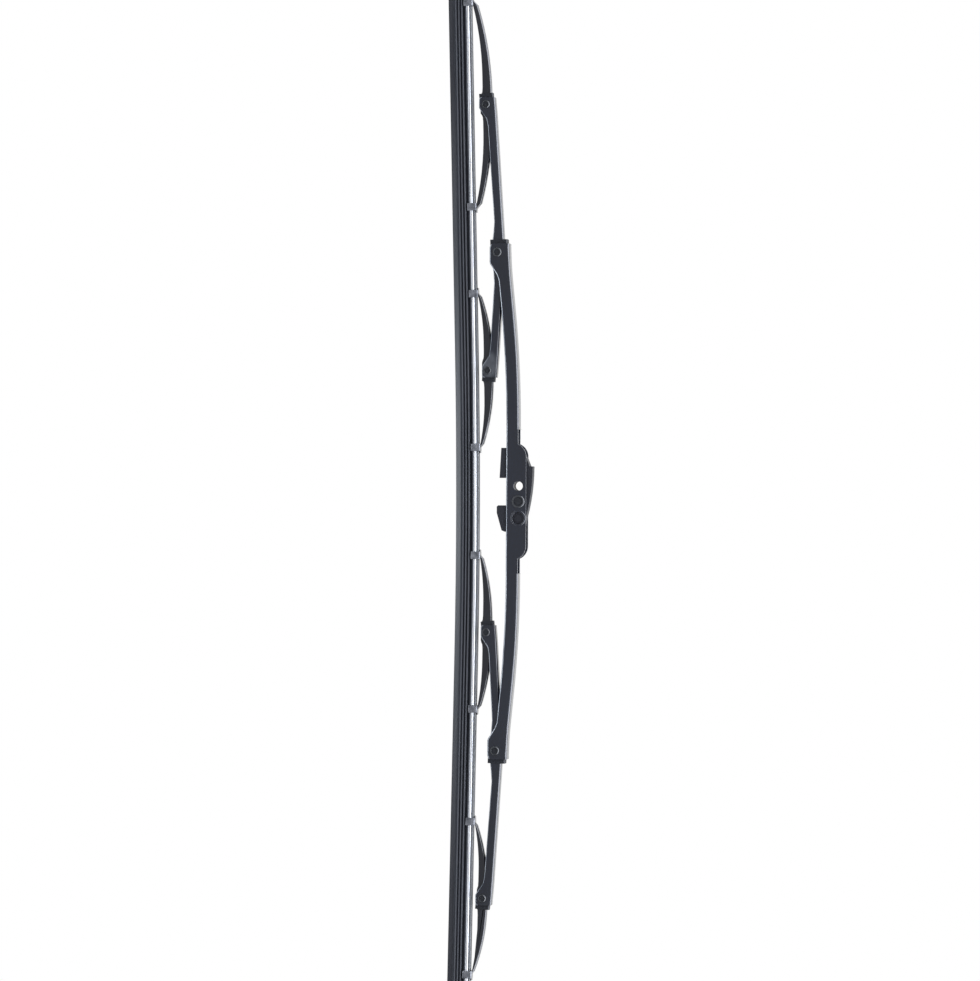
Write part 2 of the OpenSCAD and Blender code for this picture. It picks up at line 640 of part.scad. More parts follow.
// Solid rivet across a bridge of width w, a dimpled head each side
module rivet(w, shank_d, rivet_head_d, hollow_d) {
    dome = head_rise / 2;
    color("#4d525a") rotate([90, 0, 0]) difference() {
        union() {
            cylinder(d = shank_d, h = w + head_rise, center = true);
            for (side = [0, 1]) mirror([0, 0, side]) translate([0, 0, w / 2 + eps]) {
                cylinder(d = rivet_head_d, h = head_rise - dome);
                translate([0, 0, head_rise - dome])
                    cylinder(d1 = rivet_head_d, d2 = rivet_head_d - 2 * dome, h = dome);
            }
        }
        for (side = [0, 1]) mirror([0, 0, side])
            translate([0, 0, w / 2 + head_rise - dimple_depth]) cylinder(d = hollow_d, h = dimple_depth + 1);
    }
}

module main_rivet() {
    translate([main_pivot_x, 0, -main_pivot_drop]) rivet(primary_w, main_rivet_d, main_head_d, dimple_d);
}

module claw_rivet(outer) {
    translate([outer ? outer_pivot_x : inner_pivot_x, 0, outer ? -outer_pivot_drop : -inner_pivot_drop])
        rivet(second_w, claw_rivet_d, claw_head_d, dimple_d);
}

// Moulded adapter: outline drawn from the side, hollowed from below between its walls
module adapter_outline() {
    top_arc = arc_points(-spine_corner_x, spine_top - spine_r, spine_r,
        90 - asin((spine_corner_x + block_end_x - adapter_corner * 5) / spine_r), 90, 6);
    polygon(concat(
        [[-adapter_left, -block_drop + (adapter_left - block_end_x) * tan(block_slope)],
            [-block_end_x, -block_drop], [-block_end_x, -notch_drop], [hook_start_x, -notch_drop],
            [hook_start_x, -hook_drop + adapter_corner], [hook_start_x + adapter_corner, -hook_drop],
            [hook_start_x + hook_tip, -hook_drop], [adapter_right - adapter_corner, -heel_low - 3.4 * adapter_corner],
            [adapter_right, -heel_low - adapter_corner], [adapter_right, -heel_top],
            [adapter_right - heel_slope, hump_top - adapter_corner]],
        top_arc,
        [[-spine_corner_x - adapter_corner / 4, spine_top - adapter_corner / 4],
            [-spine_corner_x - adapter_corner / 4, spine_top - spine_step],
            [-hump_half + adapter_corner, hump_top], [-adapter_left, adapter_corner]]));
}

// The room inside the adapter, its roof one wall below the outline
module adapter_room() {
    slab(adapter_w - 2 * adapter_wall) polygon([
        [adapter_wall - adapter_left, -2 * hook_drop], [adapter_wall - adapter_left, 0],
        [adapter_wall - hump_half, hump_top - 2 * adapter_wall],
        [-spine_corner_x, spine_top - 2 * adapter_wall], [0, spine_top - 2.5 * adapter_wall],
        [adapter_right / 3, hump_top - 1.2 * adapter_wall],
        [adapter_right - heel_slope - adapter_wall / 2, heel_top],
        [adapter_right - adapter_wall, -heel_top], [adapter_right - adapter_wall, -2 * hook_drop]]);
}

module arm_adapter() {
    color("#26282b") difference() {
        slab(adapter_w) adapter_outline();
        difference() {
            adapter_room();
            cross_bore(adapter_rivet_d + 2 * adapter_wall, adapter_w);
            translate([-pin_hole_x, 0, 0]) cross_bore(pin_hole_d + 2 * adapter_gap + adapter_wall, adapter_w);
        }
        cross_bore(adapter_rivet_d + 2 * rivet_run, adapter_w + 2);
        translate([-pin_hole_x, 0, 0]) cross_bore(pin_hole_d + 2 * adapter_gap, adapter_w + 2);
    }
}

primary_bridge();
mirror([1, 0, 0]) secondary_bridge();  // secondary_bridge_left
secondary_bridge();  // secondary_bridge_right
claw_bridge(-outer_pivot_x, -outer_pivot_drop, left_outer_half, left_outer_rise,  // claw_bridge_left_outer
        left_outer_drop, left_outer_knee);
claw_bridge(-inner_pivot_x, -inner_pivot_drop, inner_half, inner_rise, inner_drop, inner_knee);  // claw_bridge_left_inner
claw_bridge(inner_pivot_x, -inner_pivot_drop, inner_half, inner_rise, inner_drop, inner_knee);  // claw_bridge_right_inner
claw_bridge(outer_pivot_x, -outer_pivot_drop, right_outer_half, right_outer_rise,  // claw_bridge_right_outer
        right_outer_drop, right_outer_knee);
rubber_element();
spline(-1);  // spline_front
spline(1);  // spline_back
mirror([1, 0, 0]) main_rivet();  // primary_rivet_left
main_rivet();  // primary_rivet_right
mirror([1, 0, 0]) claw_rivet(true);  // claw_rivet_left_outer
mirror([1, 0, 0]) claw_rivet(false);  // claw_rivet_left_inner
claw_rivet(false);  // claw_rivet_right_inner
claw_rivet(true);  // claw_rivet_right_outer
mirror([1, 0, 0]) main_liner();  // primary_liner_left
main_liner();  // primary_liner_right
mirror([1, 0, 0]) claw_liner(true);  // claw_liner_left_outer
mirror([1, 0, 0]) claw_liner(false);  // claw_liner_left_inner
claw_liner(false);  // claw_liner_right_inner
claw_liner(true);  // claw_liner_right_outer
arm_adapter();
rivet(primary_w, adapter_rivet_d, adapter_head_d, adapter_dimple_d);  // adapter_rivet
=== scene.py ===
import bpy
import json
import math
from mathutils import Matrix, Vector

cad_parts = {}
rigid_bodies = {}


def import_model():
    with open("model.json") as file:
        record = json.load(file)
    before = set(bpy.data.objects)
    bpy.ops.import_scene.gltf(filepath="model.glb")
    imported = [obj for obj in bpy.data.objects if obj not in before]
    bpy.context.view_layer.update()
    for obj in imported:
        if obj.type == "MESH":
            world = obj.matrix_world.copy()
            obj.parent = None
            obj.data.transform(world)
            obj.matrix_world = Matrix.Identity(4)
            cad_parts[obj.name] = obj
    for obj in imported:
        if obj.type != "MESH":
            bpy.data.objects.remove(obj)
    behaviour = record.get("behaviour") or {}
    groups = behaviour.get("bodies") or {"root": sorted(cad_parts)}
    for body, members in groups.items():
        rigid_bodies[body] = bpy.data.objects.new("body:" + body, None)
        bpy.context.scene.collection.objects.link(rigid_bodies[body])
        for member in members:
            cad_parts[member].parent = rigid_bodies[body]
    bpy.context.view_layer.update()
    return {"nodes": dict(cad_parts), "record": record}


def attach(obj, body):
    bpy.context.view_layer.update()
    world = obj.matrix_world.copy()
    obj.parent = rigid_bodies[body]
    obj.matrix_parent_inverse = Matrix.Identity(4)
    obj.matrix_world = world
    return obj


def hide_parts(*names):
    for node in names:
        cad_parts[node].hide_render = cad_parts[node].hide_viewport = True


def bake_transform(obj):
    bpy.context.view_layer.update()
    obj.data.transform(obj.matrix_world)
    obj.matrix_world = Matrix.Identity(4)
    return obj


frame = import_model()
sheetOfBlade = bpy.context.scene.collection
meshLook = {"weld": 0.000002, "cut": 0.000001, "flatAngle": 0.4}      # metres, metres, degrees
print("frame loaded:", len(frame["nodes"]), "pieces of the wiper blade")


def selectOnly(piece):
    bpy.ops.object.select_all(action="DESELECT")
    piece.select_set(True)
    bpy.context.view_layer.objects.active = piece


def openMesh(piece, mode="FACE"):
    # into edit mode with nothing selected
    selectOnly(piece)
    bpy.ops.object.mode_set(mode="EDIT")
    bpy.ops.mesh.select_mode(type=mode)
    bpy.ops.mesh.select_all(action="DESELECT")


def closeMesh():
    bpy.ops.object.mode_set(mode="OBJECT")


def pickEdges(piece, wanted):
    # wanted(edge ends, normals of its two faces) says which edges to take
    openMesh(piece, "EDGE")
    closeMesh()
    mesh = piece.data
    facesOf = {}
    for face in mesh.polygons:
        for key in face.edge_keys:
            facesOf.setdefault(key, []).append(face.normal.copy())
    for edge in mesh.edges:
        a, b = (mesh.vertices[i].co for i in edge.vertices)
        normals = facesOf.get(edge.key, [])
        edge.select = len(normals) == 2 and wanted(a, b, normals)
    bpy.ops.object.mode_set(mode="EDIT")


def copyNode(node, name, flatAngle=meshLook["flatAngle"]):
    # a piece of the blade to work on: its triangles joined and its flats made whole
    piece = frame["nodes"][node].copy()
    piece.data = piece.data.copy()
    for key in list(piece.keys()):
        del piece[key]
    sheetOfBlade.objects.link(piece)
    piece.parent = None
    piece.matrix_world = Matrix.Identity(4)
    piece.name = name
    piece.data.name = name
    piece.data.materials.clear()
    openMesh(piece)
    bpy.ops.mesh.select_all(action="SELECT")
    bpy.ops.mesh.remove_doubles(threshold=meshLook["weld"])
    bpy.ops.mesh.dissolve_limited(angle_limit=math.radians(flatAngle))
    closeMesh()
    return piece


def applyModifiers(piece):
    selectOnly(piece)
    for modifier in list(piece.modifiers):
        bpy.ops.object.modifier_apply(modifier=modifier.name)


def roundEdges(piece, width, segments=2, angle=32, slot=-1, clamp=True):
    bevel = piece.modifiers.new("softEdge", "BEVEL")
    bevel.width = width
    bevel.segments = segments
    bevel.limit_method = "ANGLE"
    bevel.angle_limit = math.radians(angle)
    bevel.material = slot
    bevel.use_clamp_overlap = clamp
    bevel.loop_slide = False
    bevel.miter_outer = "MITER_ARC"
    applyModifiers(piece)


def smoothShade(piece, angle=38):
    selectOnly(piece)
    bpy.ops.object.shade_smooth_by_angle(angle=math.radians(angle))
    weighted = piece.modifiers.new("evenNormals", "WEIGHTED_NORMAL")
    weighted.keep_sharp = True
    applyModifiers(piece)


def newFinish(name, colour, roughness, metallic=0.0, specular=0.5, coat=0.0, coatRoughness=0.1, coatIor=1.5):
    material = bpy.data.materials.new(name)
    material.use_nodes = True
    surface = material.node_tree.nodes["Principled BSDF"]
    surface.inputs["Base Color"].default_value = (*colour, 1)
    surface.inputs["Roughness"].default_value = roughness
    surface.inputs["Metallic"].default_value = metallic
    surface.inputs["Specular IOR Level"].default_value = specular
    surface.inputs["Coat Weight"].default_value = coat
    surface.inputs["Coat Roughness"].default_value = coatRoughness
    surface.inputs["Coat IOR"].default_value = coatIor
    return material


def addNoise(material, scale, stretch=(1, 1, 1), detail=4.0):
    # noise on the piece's own coordinates, stretched along the blade or across it
    nodes, links = material.node_tree.nodes, material.node_tree.links
    place = nodes.new("ShaderNodeTexCoord")
    mapping = nodes.new("ShaderNodeMapping")
    mapping.inputs["Scale"].default_value = stretch
    noise = nodes.new("ShaderNodeTexNoise")
    noise.inputs["Scale"].default_value = scale
    noise.inputs["Detail"].default_value = detail
    links.new(place.outputs["Object"], mapping.inputs["Vector"])
    links.new(mapping.outputs["Vector"], noise.inputs["Vector"])
    return noise.outputs["Fac"]


def addColourRange(material, factor, stops):
    nodes, links = material.node_tree.nodes, material.node_tree.links
    ramp = nodes.new("ShaderNodeValToRGB")
    while len(ramp.color_ramp.elements) < len(stops):
        ramp.color_ramp.elements.new(0.5)
    for element, (place, colour) in zip(ramp.color_ramp.elements, stops):
        element.position = place
        element.color = (*colour, 1)
    links.new(factor, ramp.inputs["Fac"])
    links.new(ramp.outputs["Color"], nodes["Principled BSDF"].inputs["Base Color"])
    return ramp


def addAlongBlade(material, factor, middle, reach, share):
    # full at the middle of the blade and falling to nothing at that reach, broken up by the factor
    nodes, links = material.node_tree.nodes, material.node_tree.links
    place = nodes.new("ShaderNodeTexCoord")
    split = nodes.new("ShaderNodeSeparateXYZ")
    links.new(place.outputs["Object"], split.inputs[0])
    value = split.outputs["X"]
    for operation, amount in (("SUBTRACT", middle), ("ABSOLUTE", 0), ("DIVIDE", reach)):
        step = nodes.new("ShaderNodeMath")
        step.operation = operation
        links.new(value, step.inputs[0])
        step.inputs[1].default_value = amount
        value = step.outputs[0]
    blend = nodes.new("ShaderNodeMapRange")
    blend.inputs["From Min"].default_value = 1.0
    blend.inputs["From Max"].default_value = 0.0
    links.new(value, blend.inputs["Value"])
    mix = nodes.new("ShaderNodeMath")
    mix.operation = "MULTIPLY_ADD"
    links.new(factor, mix.inputs[0])
    mix.inputs[1].default_value = share
    links.new(blend.outputs["Result"], mix.inputs[2])
    return mix.outputs[0]


def addPaintedSheenSpot(material, factor, spot):
    # a paler patch of painted sheen on the coat, soft at its rim and broken up by the factor
    nodes, links = material.node_tree.nodes, material.node_tree.links
    surface = nodes["Principled BSDF"]
    under = surface.inputs["Base Color"].links[0].from_socket
    place = nodes.new("ShaderNodeTexCoord")
    offset = nodes.new("ShaderNodeVectorMath")
    offset.operation = "SUBTRACT"
    offset.inputs[1].default_value = spot["at"]
    shape = nodes.new("ShaderNodeVectorMath")
    shape.operation = "MULTIPLY"
    shape.inputs[1].default_value = spot["shape"]
    away = nodes.new("ShaderNodeVectorMath")
    away.operation = "LENGTH"
    links.new(place.outputs["Object"], offset.inputs[0])
    links.new(offset.outputs["Vector"], shape.inputs[0])
    links.new(shape.outputs["Vector"], away.inputs[0])
    fade = nodes.new("ShaderNodeMapRange")
    fade.interpolation_type = "SMOOTHSTEP"
    for socket, value in (("From Min", spot["full"]), ("From Max", spot["gone"]),
                          ("To Min", spot["share"]), ("To Max", 0.0)):
        fade.inputs[socket].default_value = value
    links.new(away.outputs["Value"], fade.inputs["Value"])
    broken = nodes.new("ShaderNodeMath")
    broken.operation = "MULTIPLY"
    links.new(fade.outputs["Result"], broken.inputs[0])
    links.new(factor, broken.inputs[1])
    mix = nodes.new("ShaderNodeMix")
    mix.data_type = "RGBA"
    links.new(broken.outputs[0], mix.inputs["Factor"])
    links.new(under, mix.inputs[6])
    mix.inputs[7].default_value = (*spot["colour"], 1)
    links.new(mix.outputs[2], surface.inputs["Base Color"])


def addRoughRange(material, factor, low, high):
    nodes, links = material.node_tree.nodes, material.node_tree.links
    span = nodes.new("ShaderNodeMapRange")
    span.inputs["To Min"].default_value = low
    span.inputs["To Max"].default_value = high
    links.new(factor, span.inputs["Value"])
    links.new(span.outputs["Result"], nodes["Principled BSDF"].inputs["Roughness"])


def addBump(material, factor, strength, distance):
    nodes, links = material.node_tree.nodes, material.node_tree.links
    bump = nodes.new("ShaderNodeBump")
    bump.inputs["Strength"].default_value = strength
    bump.inputs["Distance"].default_value = distance
    links.new(factor, bump.inputs["Height"])
    links.new(bump.outputs["Normal"], nodes["Principled BSDF"].inputs["Normal"])


powderCoat = {"coat": 1.0, "coatRoughness": 0.18, "coatIor": 1.36}
peelScale, skinDepth = 900, 0.00005     # grain per metre of the powder coat, depth in metres of the fine grains
drawnStretch, rolledStretch = (0.02, 1, 1), (0.012, 1, 1)       # streaks along the rubber and along the splines

# satin slate powder coat on the pressed bridges, with a faint orange peel
bridgePaint = newFinish("bridgePaint", (0.003, 0.005, 0.012), 0.40, specular=0.08, **powderCoat)
peel = addNoise(bridgePaint, peelScale)
patch = addNoise(bridgePaint, 30, (0.4, 1, 1))
addColourRange(bridgePaint, patch, [(0.30, (0.0015, 0.0035, 0.011)), (0.70, (0.004, 0.007, 0.017))])
# painted sheen: a paler patch on the left inner ear, where its face would catch the light
earPaintedSheen = {"at": (-0.0805, 0, -0.018), "shape": (0.75, 0, 1.1), "full": 0.0035, "gone": 0.0072, "share": 1.7,
             "colour": (0.070, 0.078, 0.096)}
addPaintedSheenSpot(bridgePaint, addNoise(bridgePaint, 120), earPaintedSheen)
addRoughRange(bridgePaint, patch, 0.38, 0.48)
addBump(bridgePaint, peel, 0.05, skinDepth)

# the same coat drawn thin over sheared and coined edges
paintEdge = newFinish("paintEdge", (0.16, 0.17, 0.19), 0.34, metallic=0.7)
worn = addNoise(paintEdge, 260, (0.25, 1, 1))
addColourRange(paintEdge, worn, [(0.35, (0.07, 0.08, 0.10)), (0.62, (0.24, 0.26, 0.29))])

# claw bridges: the same coat, a little greyer and cloudy
clawPaint = newFinish("clawPaint", (0.005, 0.007, 0.012), 0.38, specular=0.07, **powderCoat)
clawPatch = addNoise(clawPaint, 55, (0.5, 1, 1))
addColourRange(clawPaint, clawPatch, [(0.35, (0.003, 0.004, 0.009)), (0.75, (0.010, 0.012, 0.019))])
addBump(clawPaint, addNoise(clawPaint, peelScale), 0.05, skinDepth)

# the claws, rubbed bright where they are crimped over the rubber
clawBright = newFinish("clawBright", (0.08, 0.083, 0.092), 0.45, metallic=0.5)
addColourRange(clawBright, addNoise(clawBright, 420), [(0.3, (0.026, 0.029, 0.036)), (0.7, (0.110, 0.114, 0.128))])

# moulded rubber: drawn along the blade, so its streaks run that way
ribRubber = newFinish("ribRubber", (0.050, 0.056, 0.065), 0.62, specular=0.2)
streak = addNoise(ribRubber, 900, drawnStretch, 6)
addColourRange(ribRubber, streak, [(0.30, (0.034, 0.038, 0.050)), (0.72, (0.064, 0.070, 0.085))])
addBump(ribRubber, streak, 0.12, skinDepth)

# graphite-coated wiping lip, painted lighter in the middle of the blade and darker towards its ends: a painted pool of
# light, broken up by streaks
lipRubber = newFinish("lipRubber", (0.08, 0.087, 0.095), 0.55, specular=0.15)
lipStreak = addNoise(lipRubber, 700, (0.015, 1, 1), 6)
lipPaintedLight = addAlongBlade(lipRubber, lipStreak, -0.012, 0.24, 0.30)
addColourRange(lipRubber, lipPaintedLight, [(0.12, (0.010, 0.011, 0.016)), (0.45, (0.042, 0.046, 0.055)),
                                    (0.62, (0.053, 0.058, 0.068)), (1.0, (0.122, 0.131, 0.145))])
addBump(lipRubber, lipStreak, 0.10, skinDepth)

# deep groove rubber, painted darker than the ribs as painted shade, and the smoother head that the claws slide on
grooveRubber = newFinish("grooveRubber", (0.020, 0.023, 0.027), 0.7, specular=0.2)
addColourRange(grooveRubber, addNoise(grooveRubber, 900, drawnStretch, 6),
               [(0.3, (0.010, 0.013, 0.019)), (0.7, (0.022, 0.026, 0.035))])
# the head is smoother, and its lighter colour is painted sheen
headRubber = newFinish("headRubber", (0.09, 0.10, 0.11), 0.5, specular=0.35)
headStreak = addNoise(headRubber, 900, drawnStretch, 6)
addColourRange(headRubber, headStreak, [(0.3, (0.068, 0.075, 0.085)), (0.7, (0.115, 0.124, 0.136))])
addBump(headRubber, headStreak, 0.08, skinDepth)

# rolled stainless strip
splineSteel = newFinish("splineSteel", (0.50, 0.505, 0.52), 0.26, metallic=1.0)
rolled = addNoise(splineSteel, 1500, rolledStretch, 3)
addColourRange(splineSteel, rolled, [(0.25, (0.43, 0.435, 0.45)), (0.75, (0.56, 0.565, 0.58))])
addRoughRange(splineSteel, rolled, 0.22, 0.32)

# its rolled edges, less bright than its face
splineShade = newFinish("splineShade", (0.26, 0.27, 0.29), 0.34, metallic=1.0)
addColourRange(splineShade, addNoise(splineShade, 1500, rolledStretch, 3),
               [(0.25, (0.20, 0.21, 0.23)), (0.75, (0.32, 0.33, 0.35))])

# black-oxide rivets
rivetSteel = newFinish("rivetSteel", (0.014, 0.016, 0.021), 0.36, specular=0.30)
addColourRange(rivetSteel, addNoise(rivetSteel, 380), [(0.3, (0.008, 0.010, 0.014)), (0.75, (0.024, 0.027, 0.033))])
# painted shade inside each rivet's dimple
rivetHollow = newFinish("rivetHollow", (0.004, 0.005, 0.008), 0.6, specular=0.12)
addColourRange(rivetHollow, addNoise(rivetHollow, 600), [(0.3, (0.002, 0.003, 0.005)), (0.75, (0.007, 0.008, 0.011))])

linerPlastic = newFinish("linerPlastic", (0.004, 0.005, 0.008), 0.5, specular=0.14)
linerGrain = addNoise(linerPlastic, 1400)
addColourRange(linerPlastic, linerGrain, [(0.3, (0.002, 0.003, 0.006)), (0.75, (0.006, 0.007, 0.011))])
addBump(linerPlastic, linerGrain, 0.10, skinDepth)

# spark-eroded grain on the moulded adapter
adapterPlastic = newFinish("adapterPlastic", (0.006, 0.007, 0.012), 0.46, specular=0.18)
grain = addNoise(adapterPlastic, 2200, detail=2)
addColourRange(adapterPlastic, grain, [(0.3, (0.003, 0.004, 0.008)), (0.7, (0.008, 0.009, 0.015))])
addBump(adapterPlastic, grain, 0.16, 0.00006)
print("finishes mixed")


bridgeLook = {"edge": 0.00022, "segments": 2, "primaryHalf": 0.0060, "primaryCoin": 0.0006,
              "onSide": 0.00003, "facesSide": 0.95, "facesDown": -0.35,
              "bores": [(0, 0), (-0.0091, 0), (0.0098, 0)], "boreReach": 0.0055,
              "secondHalf": 0.00425, "secondCoin": 0.0004, "clawPast": 0.0031}


def coinLowerEdges(piece, width, half):
    # the sheared lower edge of each flange, pressed back on its outer side, but not round its holes
    bores = [Vector(place) for place in bridgeLook["bores"]]
    pickEdges(piece, lambda a, b, n: max(abs(abs(a.y) - half), abs(abs(b.y) - half)) < bridgeLook["onSide"]
              and max(abs(n[0].y), abs(n[1].y)) > bridgeLook["facesSide"]
              and min(n[0].z, n[1].z) < bridgeLook["facesDown"]
              and min(math.hypot(a.x - bore.x, a.z - bore.y) for bore in bores) > bridgeLook["boreReach"])
    bpy.ops.mesh.bevel(offset=width, segments=bridgeLook["segments"], affect="EDGES", clamp_overlap=False,
                       loop_slide=False, material=1)
    closeMesh()


def rubClaws(piece, width):
    # what stands out past the channel is claw, and gets the second finish
    for face in piece.data.polygons:
        if abs(face.center.y) > width:
            face.material_index = 1


def makeBridge(node, body, paint, second, half, coin):
    piece = copyNode(node, node + ".pressed")
    piece.data.materials.append(paint)
    piece.data.materials.append(second)
    if coin:
        coinLowerEdges(piece, coin, half)
    roundEdges(piece, bridgeLook["edge"], bridgeLook["segments"], clamp=False)
    if not coin:
        rubClaws(piece, half)
    smoothShade(piece)
    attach(piece, body)
    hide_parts(node)


makeBridge("primary_bridge", "primary", bridgePaint, paintEdge, bridgeLook["primaryHalf"], bridgeLook["primaryCoin"])
for side in ("left", "right"):
    makeBridge("secondary_bridge_" + side, "secondary_" + side, bridgePaint, paintEdge, bridgeLook["secondHalf"],
               bridgeLook["secondCoin"])
    for place in ("outer", "inner"):
        makeBridge("claw_bridge_" + side + "_" + place, "claws_" + side + "_" + place, clawPaint, clawBright,
                   bridgeLook["clawPast"], 0)
print("bridges pressed")


rivetLook = {"edge": 0.00012, "angle": 30, "hollowHalf": 0.00145, "wider": 1.35, "slack": 0.00005, "flush": 0.00001}
pivotRows = [("primary_rivet_left", "primary"), ("primary_rivet_right", "primary"), ("adapter_rivet", "primary"),
             ("claw_rivet_left_outer", "secondary_left"), ("claw_rivet_left_inner", "secondary_left"),
             ("claw_rivet_right_inner", "secondary_right"), ("claw_rivet_right_outer", "secondary_right")]


def hollowRivet(piece):
    # the dimple in each head: opened a little on the small rivets, and painted dark inside as painted shade
    mesh = piece.data
    low, high = (Vector(tuple(pick(v.co[i] for v in mesh.vertices) for i in range(3))) for pick in (min, max))
    middle = (low + high) / 2
    radius = [math.hypot(v.co.x - middle.x, v.co.z - middle.z) for v in mesh.vertices]
    rim = [r for r, v in zip(radius, mesh.vertices) if abs(abs(v.co.y) - high.y) < rivetLook["flush"]]
    dimple = min(rim)
    inside = dimple + rivetLook["slack"]
    for face in mesh.polygons:
        if max(radius[i] for i in face.vertices) < inside and abs(face.center.y) > high.y / 2:
            face.material_index = 1
    if dimple < rivetLook["hollowHalf"]:
        openMesh(piece, "VERT")
        closeMesh()
        for r, v in zip(radius, mesh.vertices):
            v.select = r < inside and abs(v.co.y) > high.y / 2
        bpy.ops.object.mode_set(mode="EDIT")
        bpy.ops.transform.resize(value=(rivetLook["wider"], 1, rivetLook["wider"]), center_override=middle)
        closeMesh()


for node, body in pivotRows:
    piece = copyNode(node, node + ".headed")
    piece.data.materials.append(rivetSteel)
    piece.data.materials.append(rivetHollow)
    hollowRivet(piece)
    roundEdges(piece, rivetLook["edge"], angle=rivetLook["angle"])
    smoothShade(piece, rivetLook["angle"])
    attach(piece, body)
    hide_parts(node)

linerLook = {"edge": 0.0001, "angle": 30}
linerRows = [("primary_liner_left", "primary"), ("primary_liner_right", "primary"),
             ("claw_liner_left_outer", "secondary_left"), ("claw_liner_left_inner", "secondary_left"),
             ("claw_liner_right_inner", "secondary_right"), ("claw_liner_right_outer", "secondary_right")]
for node, body in linerRows:
    piece = copyNode(node, node + ".moulded")
    piece.data.materials.append(linerPlastic)
    roundEdges(piece, linerLook["edge"], angle=linerLook["angle"])
    smoothShade(piece)
    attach(piece, body)
    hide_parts(node)

adapterLook = {"edge": 0.0004, "segments": 3, "angle": 30}
adapter = copyNode("arm_adapter", "arm_adapter.moulded")
adapter.data.materials.append(adapterPlastic)
roundEdges(adapter, adapterLook["edge"], adapterLook["segments"], adapterLook["angle"])
smoothShade(adapter)
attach(adapter, "adapter")
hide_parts("arm_adapter")
print("rivets, liners and adapter done")


jointOf = {joint["name"]: joint for joint in frame["record"]["behaviour"]["joints"]}
turnOf = {"secondary_left_pivot": 1.0}
for coupling in frame["record"]["behaviour"]["couplings"]:
    turnOf[coupling["joint"]] = coupling["ratio"]


def lever(body, x):
    # rise and slope at x of a line fixed to the body, for one radian of the left main pivot
    if body == "primary":
        return 0.0, 0.0
    joint = jointOf[body + "_pivot"]
    pivot = joint["pos_m"][0]
    baseRise, baseSlope = lever(joint["parent"], pivot)
    slope = baseSlope - turnOf[joint["name"]]
    return baseRise + slope * (x - pivot), slope


def easedRise(bodyA, xa, bodyB, xb, x):
    # smooth line from body A at xa to body B at xb
    (ra, sa), (rb, sb) = lever(bodyA, xa), lever(bodyB, xb)
    length = xb - xa
    s = (x - xa) / length
    return ((2 * s ** 3 - 3 * s ** 2 + 1) * ra + (s ** 3 - 2 * s ** 2 + s) * length * sa
            + (3 * s ** 2 - 2 * s ** 3) * rb + (s ** 3 - s ** 2) * length * sb)


def shareOf(bodyA, bodyB, x, rise):
    # how much of body B's motion gives that rise at x
    a, b = lever(bodyA, x)[0], lever(bodyB, x)[0]
    return (rise - a) / (b - a)


clawPlaces = {"left_outer": (-0.2937, -0.1733), "left_inner": (-0.1222, -0.0318),
              "right_inner": (0.0318, 0.1222), "right_outer": (0.1885, 0.2785)}
bladeEnd = 0.32
stripLook = {"flatAngle": 0.05, "bevelAngle": 30, "smoothAngle": 34, "bendStep": 0.003}
lapLook = {"inset": 0.00006, "edgeShare": 1 / 3, "reach": 0.0012, "centreReach": 0.0032, "step": 0.9}
stripCuts = []      # each: name, start x, end x, body, then for a bend: second body, its share at the start and end
lapsOf = {"leftMiddle": [(0.0, lapLook["centreReach"])], "rightMiddle": []}     # hidden laps behind the seams
for side, sign in (("left", -1), ("right", 1)):
    outer, inner = clawPlaces[side + "_outer"], clawPlaces[side + "_inner"]
    outerIn, innerOut, innerIn = (outer[1], inner[0], inner[1]) if sign < 0 else (outer[0], inner[1], inner[0])
    pivot = jointOf["secondary_" + side + "_pivot"]["pos_m"][0]
    clawsOuter, clawsInner, second = "claws_" + side + "_outer", "claws_" + side + "_inner", "secondary_" + side
    pivotRise = easedRise(clawsOuter, outerIn, clawsInner, innerOut, pivot)
    pivotShares = [shareOf(claws, second, pivot, pivotRise) for claws in (clawsOuter, clawsInner)]
    centreRise = easedRise("claws_left_inner", clawPlaces["left_inner"][1],
                           "claws_right_inner", clawPlaces["right_inner"][0], 0)
    stripCuts += [
        (side + "End", sign * bladeEnd, outerIn, clawsOuter, None, 0, 0),
        (side + "UnderPivotOuter", outerIn, pivot, clawsOuter, second, 0, pivotShares[0]),
        (side + "UnderPivotInner", innerOut, pivot, clawsInner, second, 0, pivotShares[1]),
        (side + "Span", innerOut, innerIn, clawsInner, None, 0, 0),
        (side + "Middle", innerIn, 0.0, second, "primary",
         shareOf(second, "primary", innerIn, lever(clawsInner, innerIn)[0]), shareOf(second, "primary", 0, centreRise))]
    lapsOf[side + "UnderPivotOuter"] = [(pivot, lapLook["reach"])]
    lapsOf[side + "Middle"].append((innerIn, lapLook["reach"]))


def keepBetween(piece, low, high, step):
    # what lies between two cross-sections, closed at both, with further rings where it has to bend
    openMesh(piece)
    for x, inner, outer in ((low, True, False), (high, False, True)):
        bpy.ops.mesh.select_all(action="SELECT")
        bpy.ops.mesh.bisect(plane_co=(x, 0, 0), plane_no=(1, 0, 0), clear_inner=inner, clear_outer=outer,
                            threshold=meshLook["cut"])
        bpy.ops.mesh.select_all(action="SELECT")
        bpy.ops.mesh.fill_holes(sides=0)
    if step:
        count = max(1, int((high - low) / step))
        for i in range(1, count):
            bpy.ops.mesh.select_all(action="SELECT")
            bpy.ops.mesh.bisect(plane_co=(low + (high - low) * i / count, 0, 0), plane_no=(1, 0, 0),
                                threshold=meshLook["cut"])
    closeMesh()


def cutFrom(whole, name, low, high, step):
    piece = whole.copy()
    piece.data = whole.data.copy()
    piece.name = name
    sheetOfBlade.objects.link(piece)
    keepBetween(piece, low, high, step)
    return piece


